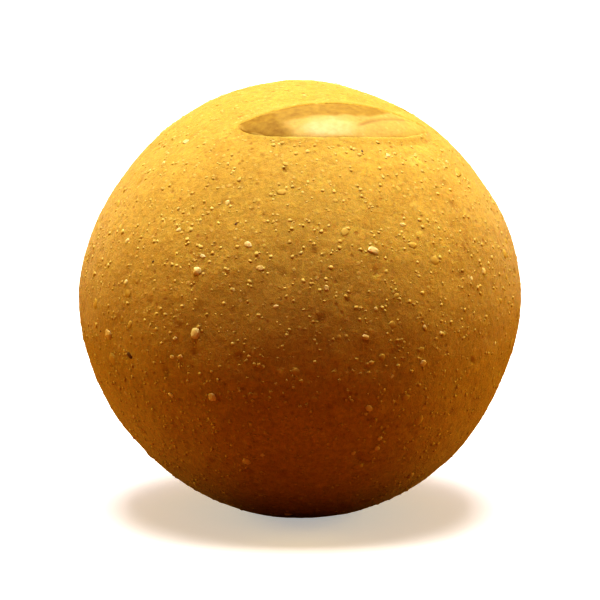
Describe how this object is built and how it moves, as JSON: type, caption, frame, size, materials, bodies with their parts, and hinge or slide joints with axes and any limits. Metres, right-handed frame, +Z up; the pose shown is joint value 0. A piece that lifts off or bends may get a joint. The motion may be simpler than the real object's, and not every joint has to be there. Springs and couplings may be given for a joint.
{
  "type": "besan ladoo",
  "caption": "Round roasted gram-flour sweet, rolled by hand, with a half-moon slice of almond pressed into the front of its top; it rests on a small flat spot.",
  "frame": {"origin": "middle of the flat spot that the ball rests on", "axes": "+Z up out of the top of the ball, -Y towards the front, where the almond slice leans, +X to the right seen from the front"},
  "size_m": [0.0456, 0.0447, 0.0445],
  "materials": {
    "dough": "matte",
    "almond": "satin"
  },
  "bodies": {
    "root": {"ladoo_ball": "dough", "almond_slice": "almond"}
  },
  "joints": []
}
